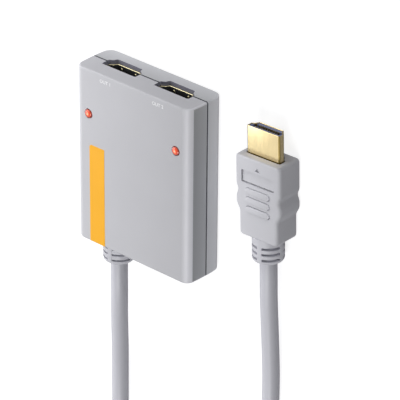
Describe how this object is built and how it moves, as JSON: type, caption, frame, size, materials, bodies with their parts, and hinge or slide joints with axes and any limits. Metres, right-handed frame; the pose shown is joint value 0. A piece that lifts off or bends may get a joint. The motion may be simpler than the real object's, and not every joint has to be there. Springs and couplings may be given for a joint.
{
  "type": "hdmi splitter",
  "caption": "Flat grey box that shares one video signal between side by side sockets in its end, with lamps, a coloured strip and a captive lead ending in a plug.",
  "frame": {"origin": "centre of the case's rear face, on the surface the box lies on", "axes": "+X to the right seen from the front with the sockets at the top, +Y towards the sockets, +Z out of the front face"},
  "size_m": [0.0868, 0.1945, 0.0175],
  "materials": {
    "case_front": "satin light grey moulding",
    "case_rear": "satin mid grey moulding",
    "steel": "plain tinned sheet and wire",
    "board": "green lacquer over glass cloth",
    "chip_black": "matt black moulding",
    "ferrite": "matt dark grey ferrite",
    "ceramic": "matt tan ceramic",
    "gold": "thin bright gold plating",
    "socket_black": "matt black moulding",
    "lamp": "tinted translucent resin",
    "white_plastic": "natural white moulding",
    "label": "smooth printed film",
    "lead_rubber": "satin soft moulding",
    "lead_jacket": "smooth satin jacket",
    "crimp_brass": "plain pressed ring",
    "wire_jacket": "thin coloured sleeves",
    "plug_mould": "satin soft moulding",
    "plug_blue": "matt blue grey moulding"
  },
  "bodies": {
    "root": {"front_shell": "case_front", "rear_shell": "case_rear", "case_screws": "steel", "circuit_board": "board", "splitter_chip": "chip_black", "chip_pins": "steel", "clock_crystal": "steel", "voltage_regulator": "chip_black", "power_inductor": "ferrite", "chip_capacitors": "ceramic", "chip_resistors": "chip_black", "surge_arrays": "chip_black", "socket_1_shell": "gold", "socket_1_insulator": "socket_black", "socket_1_contacts": "gold", "socket_2_shell": "gold", "socket_2_insulator": "socket_black", "socket_2_contacts": "gold", "led_1": "lamp", "led_2": "lamp", "led_spacers": "white_plastic", "led_leads": "steel", "accent_label": "label", "cable_gland": "lead_rubber", "cable_tail": "lead_jacket", "crimp_ring": "crimp_brass", "signal_wires": "wire_jacket", "cord": "lead_jacket", "plug_grip": "plug_mould", "plug_inner_mould": "white_plastic", "plug_shield_can": "steel", "plug_shell": "gold", "plug_insulator": "plug_blue", "plug_contacts": "gold", "plug_cable_tail": "lead_jacket"}
  },
  "joints": []
}
